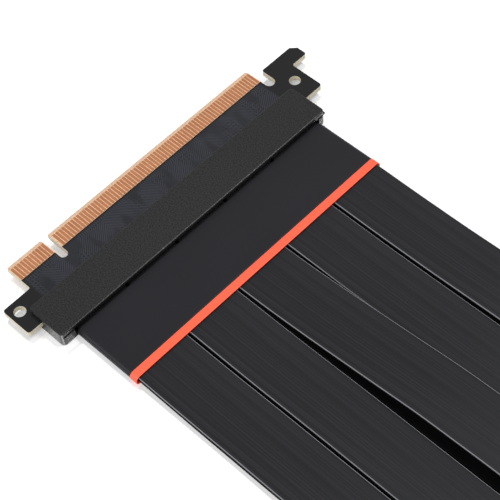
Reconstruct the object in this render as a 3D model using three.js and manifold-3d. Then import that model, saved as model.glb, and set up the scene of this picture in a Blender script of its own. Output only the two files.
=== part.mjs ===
// A graphics card riser cable: an edge plug, a flat cable of paired bands, and a card socket.
// Millimetres. X runs along the cable from the plug to the socket, Y along the card edge
// towards the retention hook, and Z up from the surface that the cable lies on.

import * as THREE from 'three';
import { mergeVertices } from 'three/addons/utils/BufferGeometryUtils.js';
import Module from 'manifold-3d';

const wasm = await Module();
wasm.setup();

// Card edge
const CONTACT_PITCH = 1.0;
const CONTACT_WIDTH = 0.76;
const CONTACT_START = 1.3;
const CONTACT_END = 5.6;
const CONTACT_RISE = 0.05;
const SHORT_CONTACTS = 11;
const LONG_CONTACTS = 71;
const EDGE_MARGIN = 0.25;
const SHORT_KEY_MARGIN = 0.24;
const LONG_KEY_MARGIN = 0.64;
const KEY_WIDTH = 2.3;
const KEY_DEPTH = 8.75;
const KEY_CORNER = 0.3;
const EDGE_CORNER = 0.4;
const BOARD_THICKNESS = 1.57;
const EDGE_BEVEL = 1.2;

// Plug board
const SHOULDER = 9.1;
const SHOULDER_RADIUS = 0.5;
const PLUG_EAR_BACK = 18.8;
const LEFT_EAR = 9.0;
const RIGHT_EAR = 9.85;
const HOOK_SLOT = 3.0;
const HOOK_FRONT = 3.3;
const HOOK_BACK = 8.1;
const HOOK_REACH = 15.3;
const HOOK_CHAMFER = 1.6;
const EAR_RADIUS = 0.8;
const HOOK_FILLET = 0.7;
const EAR_HOLE_OUT = 6.25;
const EAR_HOLE_BACK = 12.4;
const EAR_HOLE_RADIUS = 1.6;

// Covers
const COVER_LEFT_MARGIN = 4.8;
const COVER_RIGHT_MARGIN = 3.0;
const COVER_RISE = 1.5;
const COVER_CORNER = 1.2;
const COVER_EDGE = 0.3;
const COVER_WALL = 1.0;
const COVER_LID = 0.55;
const LID_LIP = 0.8;
const LIP_OVERHANG = 0.25;
const BASE_FLOOR = 0.5;
const LEDGE_DROP = 0.3;
const CATCH_SIZE = 0.5;
const PEG_RADIUS = 0.9;
const PEG_CLEARANCE = 0.15;
const PEG_BOSS_WALL = 0.6;
const PEG_SPACING = 34.0;
const PEG_FROM_FRONT = 2.0;
const PEG_GAP = 0.25;
const MOUTH_GAP = 0.15;
const UNDER_BOARD_GAP = 0.43;
const TONGUE_MARGIN = 0.7;

// Cable
const BAND_COUNT = 5;
const BAND_PITCH = 17.1;
const BAND_WIDTH = 16.3;
const LOWER_NARROWING = 0.2;
const LOWER_WIDENING = 0.2;
const BAND_THICKNESS = 0.8;
const BAND_EDGE = 0.3;
const LAYER_GAP = 0.3;
const CABLE_LENGTH = 200.0;
const BARE_LENGTH = 1.2;
const BARE_THICKNESS = 0.25;
const GROUND_BAR_WIDTH = 0.8;
const GROUND_BAR_THICKNESS = 0.25;
const GROUND_BAR_SHIFT = 0.1;
const BAND_SEAT = 1.4;
const BAND_LIFT = 0.08;
const BEND_START = 1.6;
const BEND_END = 3.2;
const BAND_STEPS = 2;

// Wrap and stripe
const SHEATH_GAP = 0.35;
const SHEATH_LENGTH = 18.35;
const SHEATH_WALL = 0.25;
const SHEATH_SIDE_WALL = 0.4;
const SHEATH_SIDE_GAP = 0.35;
const SHEATH_FLOOR = 0.25;
const SHEATH_CLEARANCE = 0.2;
const STRIPE_WIDTH = 2.4;
const STRIPE_PROUD = 0.1;
const STRIPE_CLEARANCE = 0.9;

// Socket end
const BOARD_INSET = 5.75;
const EAR_INSET = 7.45;
const SOCKET_BOARD_END = 29.75;
const SOCKET_BOARD_MARGIN = 13.5;
const SOCKET_BOARD_CORNER = 2.0;
const SOCKET_COVER_MARGIN = 3.9;
const TRAY_HEIGHT = 4.0;
const TRAY_FLOOR = 0.8;
const TRAY_WALL = 1.2;
const HOUSING_END_WALL = 1.9;
const HOUSING_WIDTH = 7.5;
const HOUSING_HEIGHT = 11.25;
const HOUSING_OFFSET = 3.1;
const SLOT_WIDTH = 2.4;
const SLOT_DEPTH = 8.6;
const SLOT_CLEARANCE = 0.15;
const KEY_CLEARANCE = 0.1;
const SLOT_LEAD_IN = 0.5;
const SPRING_WIDTH = 0.5;
const SPRING_RISE = 0.35;
const SPRING_TOP = 1.2;
const MOUNT_HOLE_RADIUS = 1.6;
const MOUNT_HOLE_EDGE = 4.5;
const MOUNT_HOLE_NEAR = 10.5;
const MOUNT_HOLE_FAR = 26.0;
const BOSS_WALL = 1.2;
const SCREW_FROM_COVER = 3.5;
const SCREW_FROM_FACE = 10.5;
const SCREW_RADIUS = 1.0;
const SCREW_HEAD_RADIUS = 2.0;
const SCREW_HEAD_HEIGHT = 1.3;
const SCREW_LENGTH = 4.6;
const SCREW_SLOT = 0.5;

// Latch
const YOKE_LENGTH = 8.6;
const YOKE_HEIGHT = 7.2;
const CHEEK = 1.6;
const YOKE_FLOOR = 1.0;
const PIVOT_OUT = 4.2;
const PIVOT_UP = 3.3;
const PIVOT_RADIUS = 1.0;
const LATCH_GAP = 0.3;
const LATCH_HUB = 1.9;
const LATCH_HEIGHT = 15.0;
const LATCH_STEM = 1.8;
const LATCH_NUB_LOW = 11.3;
const LATCH_NUB_HIGH = 13.0;
const LATCH_SLIT = 2.1;
const LATCH_TAB = 3.0;

const FIT = 0.05;
const ROUND_SIDES = 20;

// Derived sizes
const shortLength = (SHORT_CONTACTS - 1) * CONTACT_PITCH + CONTACT_WIDTH + EDGE_MARGIN + SHORT_KEY_MARGIN;
const longLength = (LONG_CONTACTS - 1) * CONTACT_PITCH + CONTACT_WIDTH + EDGE_MARGIN + LONG_KEY_MARGIN;
const cardEdge = shortLength + KEY_WIDTH + longLength;
const edgeLeft = -cardEdge / 2;
const edgeRight = cardEdge / 2;
const socketCoverHalf = edgeRight + SOCKET_COVER_MARGIN;
const socketBoardHalf = socketCoverHalf + SOCKET_BOARD_MARGIN;
const coverLeft = edgeRight + COVER_LEFT_MARGIN;
const coverRight = edgeRight + COVER_RIGHT_MARGIN;
const keyLeft = edgeLeft + shortLength;
const keyRight = keyLeft + KEY_WIDTH;
const stackThickness = 2 * BAND_THICKNESS + LAYER_GAP;
const stackWidth = (BAND_COUNT - 1) * BAND_PITCH + BAND_WIDTH;
const sheathHalf = stackWidth / 2 + SHEATH_SIDE_GAP + SHEATH_SIDE_WALL;
const mouthHalf = sheathHalf + MOUTH_GAP;
const tongueHalf = mouthHalf + TONGUE_MARGIN;
const ribbonFloor = SHEATH_FLOOR + SHEATH_WALL + SHEATH_CLEARANCE;
const sheathTop = ribbonFloor + stackThickness + SHEATH_CLEARANCE + SHEATH_WALL;
const plugBoardBase = BASE_FLOOR + BAND_THICKNESS + UNDER_BOARD_GAP;
const plugBoardTop = plugBoardBase + BOARD_THICKNESS;
const plugLedge = plugBoardTop - LEDGE_DROP;
const plugFace = PLUG_EAR_BACK + EAR_INSET;
const plugBoardEnd = plugFace - BOARD_INSET;
const groundBarMiddle = BOARD_INSET + BAND_SEAT + BARE_LENGTH / 2 + GROUND_BAR_SHIFT;
const pegBore = PEG_RADIUS + PEG_CLEARANCE;
const pegBoss = pegBore + PEG_BOSS_WALL;
const pegInset = groundBarMiddle + GROUND_BAR_WIDTH / 2 + PEG_GAP + pegBoss;
const coverDepth = pegInset + PEG_FROM_FRONT;
const socketFace = plugFace + CABLE_LENGTH;
const socketLift = TRAY_HEIGHT - plugBoardBase;
const socketBoardTop = TRAY_HEIGHT + BOARD_THICKNESS;
const totalLength = socketFace + SOCKET_BOARD_END;

const colours = {
  board: new THREE.Color(0.13, 0.135, 0.15),
  shell: new THREE.Color(0.16, 0.16, 0.165),
  wrap: new THREE.Color(0.175, 0.175, 0.19),
  band: new THREE.Color(0.17, 0.17, 0.18),
  stripe: new THREE.Color(1.0, 0.36, 0.25),
  metal: new THREE.Color(0.75, 0.75, 0.72),
  moulding: new THREE.Color(0.06, 0.06, 0.065),
};

function finish(colour, roughness, metalness = 0) {
  return new THREE.MeshStandardMaterial({ color: colour, roughness, metalness });
}

// A closed mesh becomes a solid that can be cut and joined.
function toSolid(geometry) {
  const bare = geometry.clone();
  bare.deleteAttribute('normal');
  bare.deleteAttribute('uv');
  const merged = mergeVertices(bare, 1e-4);
  const corners = [];
  for (let i = 0; i < merged.index.count; i += 3) {
    const [a, b, c] = merged.index.array.slice(i, i + 3);
    if (a !== b && b !== c && c !== a) corners.push(a, b, c);
  }
  return new wasm.Manifold(new wasm.Mesh({
    numProp: 3,
    vertProperties: new Float32Array(merged.attributes.position.array),
    triVerts: new Uint32Array(corners),
  }));
}

function toGeometry(solid) {
  const mesh = solid.getMesh();
  const geometry = new THREE.BufferGeometry();
  geometry.setAttribute('position', new THREE.BufferAttribute(mesh.vertProperties, 3));
  geometry.setIndex(new THREE.BufferAttribute(mesh.triVerts, 1));
  geometry.computeVertexNormals();
  return geometry;
}

function block([x0, x1], [y0, y1], [z0, z1]) {
  const box = new THREE.BoxGeometry(x1 - x0, y1 - y0, z1 - z0);
  box.translate((x0 + x1) / 2, (y0 + y1) / 2, (z0 + z1) / 2);
  return toSolid(box);
}

// An outline in the XY plane, raised between two heights.
function plate(outline, [z0, z1], bevel = 0) {
  const geometry = new THREE.ExtrudeGeometry(outline, {
    depth: z1 - z0 - 2 * bevel,
    bevelEnabled: bevel > 0,
    bevelSize: bevel,
    bevelThickness: bevel,
    bevelOffset: -bevel,
    bevelSegments: 2,
    curveSegments: 4,
  });
  geometry.translate(0, 0, z0 + bevel);
  return toSolid(geometry);
}

function roundedOutline([x0, x1], [y0, y1], radius) {
  const outline = new THREE.Shape();
  outline.moveTo(x0 + radius, y0);
  outline.lineTo(x1 - radius, y0);
  outline.absarc(x1 - radius, y0 + radius, radius, -Math.PI / 2, 0, false);
  outline.lineTo(x1, y1 - radius);
  outline.absarc(x1 - radius, y1 - radius, radius, 0, Math.PI / 2, false);
  outline.lineTo(x0 + radius, y1);
  outline.absarc(x0 + radius, y1 - radius, radius, Math.PI / 2, Math.PI, false);
  outline.lineTo(x0, y0 + radius);
  outline.absarc(x0 + radius, y0 + radius, radius, Math.PI, 1.5 * Math.PI, false);
  return outline;
}

function post([x, y], radius, [z0, z1]) {
  const cylinder = new THREE.CylinderGeometry(radius, radius, z1 - z0, ROUND_SIDES);
  cylinder.rotateX(Math.PI / 2);
  cylinder.translate(x, y, (z0 + z1) / 2);
  return toSolid(cylinder);
}

function joinAll(solids) {
  return wasm.Manifold.union(solids);
}

function named(name, solid, material) {
  const mesh = new THREE.Mesh(toGeometry(solid), material);
  mesh.name = name;
  return mesh;
}

// Turns a section drawn in XY to run along X, with its own Y upwards.
const alongX = new THREE.Matrix4().makeBasis(
  new THREE.Vector3(0, 1, 0),
  new THREE.Vector3(0, 0, 1),
  new THREE.Vector3(1, 0, 0),
);

// Lies between two distances from a cover's mouth face. The plug's board lies before its face
// and the socket's board lies after its own.
function reach(face, direction, from, to) {
  const ends = [face + direction * from, face + direction * to];
  return [Math.min(...ends), Math.max(...ends)];
}

// Places of the contacts along the card edge, counted from the board's centre.
function contactPlaces() {
  const first = edgeLeft + EDGE_MARGIN + CONTACT_WIDTH / 2;
  const last = edgeRight - EDGE_MARGIN - CONTACT_WIDTH / 2;
  const places = [];
  for (let i = 0; i < SHORT_CONTACTS; i += 1) places.push(first + i * CONTACT_PITCH);
  for (let i = LONG_CONTACTS - 1; i >= 0; i -= 1) places.push(last - i * CONTACT_PITCH);
  return places;
}

function pegPlaces(face, direction) {
  const x = face + direction * pegInset;
  return [-PEG_SPACING, 0, PEG_SPACING].map((y) => [x, y]);
}

// Plug board: card edge, key notch, slot and hook on the right, and an ear with a hole each side.
function plugBoardOutline() {
  const ear = EAR_RADIUS;
  const leftEnd = edgeLeft - LEFT_EAR;
  const rightEnd = edgeRight + RIGHT_EAR;
  const hookRoot = edgeRight + HOOK_SLOT;
  const hookTip = edgeRight + HOOK_REACH;
  const shoulder = SHOULDER_RADIUS;
  const keyRadius = KEY_WIDTH / 2;
  const slotRadius = HOOK_SLOT / 2;
  const outline = new THREE.Shape();
  outline.moveTo(0, edgeLeft + EDGE_CORNER);
  outline.lineTo(0, keyLeft - KEY_CORNER);
  outline.lineTo(KEY_CORNER, keyLeft);
  outline.lineTo(KEY_DEPTH - keyRadius, keyLeft);
  outline.absarc(KEY_DEPTH - keyRadius, keyLeft + keyRadius, keyRadius, -Math.PI / 2, Math.PI / 2, false);
  outline.lineTo(KEY_CORNER, keyRight);
  outline.lineTo(0, keyRight + KEY_CORNER);
  outline.lineTo(0, edgeRight - EDGE_CORNER);
  outline.lineTo(EDGE_CORNER, edgeRight);
  outline.lineTo(SHOULDER - slotRadius, edgeRight);
  outline.absarc(SHOULDER - slotRadius, edgeRight + slotRadius, slotRadius, -Math.PI / 2, Math.PI / 2, false);
  outline.lineTo(HOOK_FRONT + EDGE_CORNER, hookRoot);
  outline.lineTo(HOOK_FRONT, hookRoot + EDGE_CORNER);
  outline.lineTo(HOOK_FRONT, hookTip - HOOK_CHAMFER);
  outline.lineTo(HOOK_FRONT + HOOK_CHAMFER, hookTip);
  outline.lineTo(HOOK_BACK - EDGE_CORNER, hookTip);
  outline.lineTo(HOOK_BACK, hookTip - EDGE_CORNER);
  outline.lineTo(HOOK_BACK, rightEnd + HOOK_FILLET);
  outline.absarc(HOOK_BACK + HOOK_FILLET, rightEnd + HOOK_FILLET, HOOK_FILLET, Math.PI, 1.5 * Math.PI, false);
  outline.lineTo(PLUG_EAR_BACK - ear, rightEnd);
  outline.absarc(PLUG_EAR_BACK - ear, rightEnd - ear, ear, Math.PI / 2, 0, true);
  outline.lineTo(PLUG_EAR_BACK, tongueHalf);
  outline.lineTo(plugBoardEnd, tongueHalf);
  outline.lineTo(plugBoardEnd, -tongueHalf);
  outline.lineTo(PLUG_EAR_BACK, -tongueHalf);
  outline.lineTo(PLUG_EAR_BACK, leftEnd + ear);
  outline.absarc(PLUG_EAR_BACK - ear, leftEnd + ear, ear, 0, -Math.PI / 2, true);
  outline.lineTo(SHOULDER + ear, leftEnd);
  outline.absarc(SHOULDER + ear, leftEnd + ear, ear, -Math.PI / 2, Math.PI, true);
  outline.lineTo(SHOULDER, edgeLeft - shoulder);
  outline.absarc(SHOULDER - shoulder, edgeLeft - shoulder, shoulder, 0, Math.PI / 2, false);
  outline.lineTo(EDGE_CORNER, edgeLeft);
  return outline;
}

function boardEdgeBevel() {
  const wedge = new THREE.Shape();
  const drop = EDGE_BEVEL * Math.tan(THREE.MathUtils.degToRad(20));
  wedge.moveTo(-0.5, 0.5);
  wedge.lineTo(EDGE_BEVEL, 0.5);
  wedge.lineTo(EDGE_BEVEL, 0);
  wedge.lineTo(0, -drop);
  wedge.lineTo(-0.5, -drop);
  const geometry = new THREE.ExtrudeGeometry(wedge, { depth: cardEdge + 2, bevelEnabled: false });
  geometry.rotateX(Math.PI / 2);
  geometry.translate(0, cardEdge / 2 + 1, 0);
  return toSolid(geometry);
}

function plugBoard() {
  const through = [plugBoardBase - 1, plugBoardTop + 1];
  const earHoles = [-1, 1].map((side) => [EAR_HOLE_BACK, side * (edgeRight + EAR_HOLE_OUT)]);
  const holes = [
    ...earHoles.map((place) => post(place, EAR_HOLE_RADIUS, through)),
    ...pegPlaces(plugFace, -1).map((place) => post(place, pegBore, through)),
  ];
  const wedge = boardEdgeBevel();
  const upperWedge = wedge.translate([0, 0, plugBoardTop]);
  const lowerWedge = wedge.mirror([0, 0, 1]).translate([0, 0, plugBoardBase]);
  const sheet = plate(plugBoardOutline(), [plugBoardBase, plugBoardTop])
    .subtract(upperWedge)
    .subtract(lowerWedge);
  const contacts = contactPlaces().map((y) => block(
    [CONTACT_START, CONTACT_END],
    [y - CONTACT_WIDTH / 2, y + CONTACT_WIDTH / 2],
    [plugBoardBase - CONTACT_RISE, plugBoardTop + CONTACT_RISE],
  ));
  return sheet.add(joinAll(contacts)).subtract(joinAll(holes));
}

// The upper shell of either end: a lid with a small overhang at the mouth, open below, with
// bosses that sit on the lower shell's pegs.
function coverTop({ face, direction, left, right, boardTop, pegs }) {
  const top = boardTop + COVER_RISE;
  const ledge = boardTop - LEDGE_DROP;
  const across = [-left, right];
  const depth = reach(face, direction, 0, coverDepth);
  const outer = plate(roundedOutline(depth, across, COVER_CORNER), [ledge - 2, top], COVER_EDGE);
  const beyond = [-left - 1, right + 1];
  const below = block(reach(face, direction, -1, coverDepth + 1), beyond, [ledge - 3, ledge]);
  const undercut = block(reach(face, direction, -1, LIP_OVERHANG), beyond, [ledge - 1, top - LID_LIP]);
  const hollow = block(
    reach(face, direction, COVER_WALL, coverDepth - COVER_WALL),
    [-left + COVER_WALL, right - COVER_WALL],
    [ledge - 1, top - COVER_LID],
  );
  const boardSpace = block(
    reach(face, direction, EAR_INSET - 2 * FIT, coverDepth + 1),
    beyond,
    [ledge - 1, boardTop + FIT],
  );
  let shell = outer.subtract(below).subtract(undercut).subtract(hollow).subtract(boardSpace);
  for (const place of pegs) {
    const boss = post(place, pegBoss, [boardTop + FIT, top - COVER_LID + FIT]);
    shell = shell.add(boss).subtract(post(place, pegBore, [boardTop - 1, top - COVER_LID]));
  }
  return shell;
}

// Pegs rise through the board into the bosses of the upper shell.
function pegsUp(places, from, boardTop) {
  const crest = boardTop + COVER_RISE - COVER_LID - 2 * FIT;
  return joinAll(places.map((place) => post(place, PEG_RADIUS, [from, crest])));
}

function plugCoverBase() {
  const across = [-coverLeft, coverRight];
  const depth = reach(plugFace, -1, 0, coverDepth);
  const outer = plate(roundedOutline(depth, across, COVER_CORNER), [0, plugLedge + 2], COVER_EDGE);
  const beyond = [-coverLeft - 1, coverRight + 1];
  const above = block(reach(plugFace, -1, -1, coverDepth + 1), beyond, [plugLedge, plugLedge + 3]);
  const hollow = block(
    reach(plugFace, -1, COVER_WALL, coverDepth - COVER_WALL),
    [-coverLeft + COVER_WALL, coverRight - COVER_WALL],
    [BASE_FLOOR, plugLedge + 1],
  );
  const mouth = block(
    reach(plugFace, -1, -1, COVER_WALL + 0.5),
    [-mouthHalf, mouthHalf],
    [BASE_FLOOR, plugLedge + 1],
  );
  const boardSpace = block(
    reach(plugFace, -1, EAR_INSET - 2 * FIT, coverDepth + 1),
    beyond,
    [plugBoardBase - FIT, plugLedge + 1],
  );
  const catchLip = block(
    reach(plugFace, -1, 0.5, 2.0),
    [coverRight - COVER_WALL / 2, coverRight + CATCH_SIZE],
    [plugLedge - CATCH_SIZE, plugLedge],
  );
  const shell = outer.subtract(above).subtract(hollow).subtract(mouth).subtract(boardSpace);
  return shell.add(catchLip).add(pegsUp(pegPlaces(plugFace, -1), BASE_FLOOR - FIT, plugBoardTop));
}

// A flat bar with fully rounded sides, laid along X.
function roundedBar([x0, x1], half, [z0, z1]) {
  const outline = roundedOutline([-half, half], [z0, z1], (z1 - z0) / 2 - 0.01);
  const geometry = new THREE.ExtrudeGeometry(outline, {
    depth: x1 - x0,
    bevelEnabled: false,
    curveSegments: 4,
  });
  geometry.applyMatrix4(alongX);
  geometry.translate(x0, 0, 0);
  return toSolid(geometry);
}

// The cable's wrap and stripe: a flat ring round both layers of bands.
function ring([x0, x1], lift, proud) {
  const outer = roundedBar([x0, x1], sheathHalf + proud, [
    SHEATH_FLOOR + lift - proud,
    sheathTop + lift + proud,
  ]);
  const inner = roundedBar([x0 - 1, x1 + 1], sheathHalf - SHEATH_SIDE_WALL, [
    SHEATH_FLOOR + SHEATH_WALL + lift,
    sheathTop - SHEATH_WALL + lift,
  ]);
  return outer.subtract(inner);
}

// Route of the free cable, as stations between the plug's wrap and the socket's wrap. Each is a
// share of that run, and has a climb of both layers and a rise and a sway for each upper band.
const wrapEnd = SHEATH_GAP + SHEATH_LENGTH + STRIPE_WIDTH + STRIPE_CLEARANCE;
const freeRun = CABLE_LENGTH - 2 * wrapEnd;
const routeShares = [
  0, 0.05, 0.115, 0.19, 0.27, 0.345, 0.42, 0.5, 0.575, 0.655, 0.73, 0.805, 0.885, 0.945, 1,
];
const routeStations = routeShares.map((share) => wrapEnd + share * freeRun);
const routeClimb = [0, -0.2, -0.45, -0.55, -0.6, -0.6, -0.6, -0.6, -0.6, -0.5, -0.1, 0.5, 1.3, 1.9, 2.2];
const upperRise = [
  [0, 0, 0.1, 0.3, 0.5, 0.7, 0.8, 0.8, 0.7, 0.6, 0.4, 0.3, 0.1, 0, 0],
  [0, 0, 0, 0.1, 0.2, 0.3, 0.4, 0.5, 0.6, 0.6, 0.5, 0.3, 0.1, 0, 0],
  [0, 0.4, 1.1, 1.9, 2.6, 3.2, 3.5, 3.6, 3.4, 2.9, 2.2, 1.5, 0.8, 0.3, 0],
  [0, 0, 0, 0.1, 0.2, 0.3, 0.3, 0.3, 0.3, 0.3, 0.2, 0.2, 0.1, 0, 0],
  [0, 0, 0.1, 0.2, 0.4, 0.5, 0.6, 0.6, 0.6, 0.5, 0.4, 0.2, 0.1, 0, 0],
];
const upperSway = [
  [0, 0, 0, 0, -0.1, -0.2, -0.3, -0.4, -0.4, -0.4, -0.3, -0.2, -0.1, 0, 0],
  [0, 0, 0, 0, 0, -0.1, -0.2, -0.3, -0.3, -0.3, -0.2, -0.1, 0, 0, 0],
  [0, 0, 0.1, 0.3, 0.6, 0.9, 1.0, 1.1, 1.1, 1.0, 0.8, 0.5, 0.2, 0, 0],
  [0, 0, 0, 0, 0, 0, 0.1, 0.1, 0.1, 0.1, 0.1, 0, 0, 0, 0],
  [0, 0, 0, 0, 0.1, 0.2, 0.2, 0.3, 0.3, 0.3, 0.2, 0.1, 0, 0, 0],
];

// Centre line of one band, from its seat on the plug's board to its seat on the socket's board.
function bandRoute(index, upper) {
  const pitch = upper ? BAND_PITCH : BAND_PITCH - LOWER_NARROWING;
  const y = (index - (BAND_COUNT - 1) / 2) * pitch;
  const half = BAND_THICKNESS / 2;
  const level = upper ? ribbonFloor + 3 * half + LAYER_GAP : ribbonFloor + half;
  const seat = upper ? plugBoardTop + BAND_LIFT + half : plugBoardBase - BAND_LIFT - half;
  const seatEnd = BOARD_INSET + BAND_SEAT;
  const at = (fromPlug, height, sway = 0) => new THREE.Vector3(plugFace + fromPlug, y + sway, height);
  const points = [
    at(-seatEnd, seat),
    at(-BOARD_INSET - 0.1, seat),
    at(-BOARD_INSET + BEND_START, seat + (level - seat) * 0.25),
    at(-BOARD_INSET + BEND_END, seat + (level - seat) * 0.8),
    at(-0.9, level),
    at(1.5, level),
    at(12, level),
  ];
  routeStations.forEach((station, i) => {
    const rise = upper ? upperRise[index][i] : 0;
    const sway = upper ? upperSway[index][i] : 0;
    points.push(at(station, level + routeClimb[i] + rise, sway));
  });
  const far = (fromSocket, height) => at(CABLE_LENGTH - fromSocket, height + socketLift);
  points.push(far(12, level));
  points.push(far(1.5, level));
  points.push(far(-0.9, level));
  points.push(far(-BOARD_INSET + BEND_END, seat + (level - seat) * 0.8));
  points.push(far(-BOARD_INSET + BEND_START, seat + (level - seat) * 0.25));
  points.push(far(-BOARD_INSET - 0.1, seat));
  points.push(far(-seatEnd, seat));
  return points;
}

function bandSection(width) {
  const halfWidth = width / 2;
  const half = BAND_THICKNESS / 2;
  const section = new THREE.Shape();
  section.moveTo(-half, -halfWidth + BAND_EDGE);
  section.lineTo(0, -halfWidth);
  section.lineTo(half, -halfWidth + BAND_EDGE);
  section.lineTo(half, halfWidth - BAND_EDGE);
  section.lineTo(0, halfWidth);
  section.lineTo(-half, halfWidth - BAND_EDGE);
  return section;
}

// A curve whose steps fall on its own points, so that a tight bend keeps them, and whose
// frames keep a flat section level from side to side.
function flatCurve(points) {
  const curve = new THREE.CatmullRomCurve3(points);
  curve.getSpacedPoints = curve.getPoints;
  curve.computeFrenetFrames = (steps) => {
    const tangents = [];
    const normals = [];
    const binormals = [];
    for (let i = 0; i <= steps; i += 1) {
      const tangent = curve.getTangent(i / steps);
      const across = new THREE.Vector3(0, 0, 1).cross(tangent).normalize();
      tangents.push(tangent);
      binormals.push(across);
      normals.push(across.clone().cross(tangent));
    }
    return { tangents, normals, binormals };
  };
  return curve;
}

// One flat band with its stripped conductors as a thin tongue on each board.
function band(index, upper) {
  const route = bandRoute(index, upper);
  const width = upper ? BAND_WIDTH : BAND_WIDTH + LOWER_WIDENING;
  const strip = new THREE.ExtrudeGeometry(bandSection(width), {
    steps: BAND_STEPS * (route.length - 1),
    bevelEnabled: false,
    extrudePath: flatCurve(route),
  });
  const y = route[0].y;
  const across = [y - width / 2 + 2 * BAND_EDGE, y + width / 2 - 2 * BAND_EDGE];
  const tongue = (face, direction, boardBase) => {
    const inset = BOARD_INSET + BAND_SEAT;
    const heights = upper
      ? [boardBase + BOARD_THICKNESS + BAND_LIFT, boardBase + BOARD_THICKNESS + BAND_LIFT + BARE_THICKNESS]
      : [boardBase - BAND_LIFT - BARE_THICKNESS, boardBase - BAND_LIFT];
    return block(reach(face, direction, inset - 0.3, inset + BARE_LENGTH), across, heights);
  };
  return joinAll([
    toSolid(strip),
    tongue(plugFace, -1, plugBoardBase),
    tongue(socketFace, 1, TRAY_HEIGHT),
  ]);
}

// A strip that clamps the bare shields of one layer.
function groundBar(face, direction, boardBase, upper) {
  const away = BAND_LIFT + BARE_THICKNESS + FIT;
  const low = upper ? boardBase + BOARD_THICKNESS + away : boardBase - away - GROUND_BAR_THICKNESS;
  return block(
    reach(
      face,
      direction,
      groundBarMiddle - GROUND_BAR_WIDTH / 2,
      groundBarMiddle + GROUND_BAR_WIDTH / 2,
    ),
    [-stackWidth / 2, stackWidth / 2],
    [low, low + GROUND_BAR_THICKNESS],
  );
}

const mountPlaces = [MOUNT_HOLE_NEAR, MOUNT_HOLE_FAR].flatMap((fromFace) => (
  [-1, 1].map((side) => [socketFace + fromFace, side * (socketBoardHalf - MOUNT_HOLE_EDGE)])
));
const screwPlaces = [-1, 1].map((side) => [
  socketFace + SCREW_FROM_FACE,
  side * (socketCoverHalf + SCREW_FROM_COVER),
]);

function socketBoard() {
  const across = [-socketBoardHalf, socketBoardHalf];
  const main = plate(
    roundedOutline(reach(socketFace, 1, EAR_INSET, SOCKET_BOARD_END), across, SOCKET_BOARD_CORNER),
    [TRAY_HEIGHT, socketBoardTop],
  );
  const tongue = block(
    reach(socketFace, 1, BOARD_INSET, EAR_INSET + 1),
    [-tongueHalf, tongueHalf],
    [TRAY_HEIGHT, socketBoardTop],
  );
  const through = [TRAY_HEIGHT - 1, socketBoardTop + 1];
  const holes = [
    ...mountPlaces.map((place) => post(place, MOUNT_HOLE_RADIUS, through)),
    ...screwPlaces.map((place) => post(place, SCREW_RADIUS + PEG_CLEARANCE, through)),
    ...pegPlaces(socketFace, 1).map((place) => post(place, pegBore, through)),
  ];
  return main.add(tongue).subtract(joinAll(holes));
}

// The tray under the socket board, with the lower half of the cable's clamp at its mouth.
function socketBaseTray() {
  const half = socketBoardHalf;
  const ledge = socketBoardTop - LEDGE_DROP;
  const seat = TRAY_HEIGHT - FIT;
  const clampOuter = plate(
    roundedOutline(reach(socketFace, 1, 0, coverDepth), [-socketCoverHalf, socketCoverHalf], COVER_CORNER),
    [0, ledge + 2],
    COVER_EDGE,
  );
  const above = block(reach(socketFace, 1, -1, coverDepth + 1), [-half, half], [ledge, ledge + 3]);
  const boardSpace = block(
    reach(socketFace, 1, EAR_INSET - 2 * FIT, coverDepth + 1),
    [-half, half],
    [seat, ledge + 1],
  );
  const trayOuter = plate(
    roundedOutline(reach(socketFace, 1, EAR_INSET, SOCKET_BOARD_END), [-half, half], SOCKET_BOARD_CORNER),
    [0, seat],
  );
  const clampHollow = block(
    reach(socketFace, 1, COVER_WALL, coverDepth),
    [-socketCoverHalf + COVER_WALL, socketCoverHalf - COVER_WALL],
    [TRAY_FLOOR, ledge + 1],
  );
  const trayHollow = block(
    reach(socketFace, 1, EAR_INSET + TRAY_WALL, SOCKET_BOARD_END - TRAY_WALL),
    [-half + TRAY_WALL, half - TRAY_WALL],
    [TRAY_FLOOR, ledge + 1],
  );
  const mouth = block(
    reach(socketFace, 1, -1, COVER_WALL + 0.5),
    [-mouthHalf, mouthHalf],
    [BASE_FLOOR + socketLift, ledge + 1],
  );
  const shell = clampOuter.subtract(above).subtract(boardSpace).add(trayOuter)
    .subtract(clampHollow).subtract(trayHollow).subtract(mouth);
  const bosses = [
    ...mountPlaces.map((place) => post(place, MOUNT_HOLE_RADIUS + BOSS_WALL, [TRAY_FLOOR - FIT, seat])),
    ...screwPlaces.map((place) => post(place, SCREW_RADIUS + BOSS_WALL, [TRAY_FLOOR - FIT, seat])),
  ];
  const bores = [
    ...mountPlaces.map((place) => post(place, MOUNT_HOLE_RADIUS, [-1, seat + 1])),
    ...screwPlaces.map((place) => post(place, SCREW_RADIUS + FIT, [TRAY_FLOOR, seat + 1])),
  ];
  return shell.add(joinAll(bosses)).subtract(joinAll(bores))
    .add(pegsUp(pegPlaces(socketFace, 1), TRAY_FLOOR - FIT, socketBoardTop));
}

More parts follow.
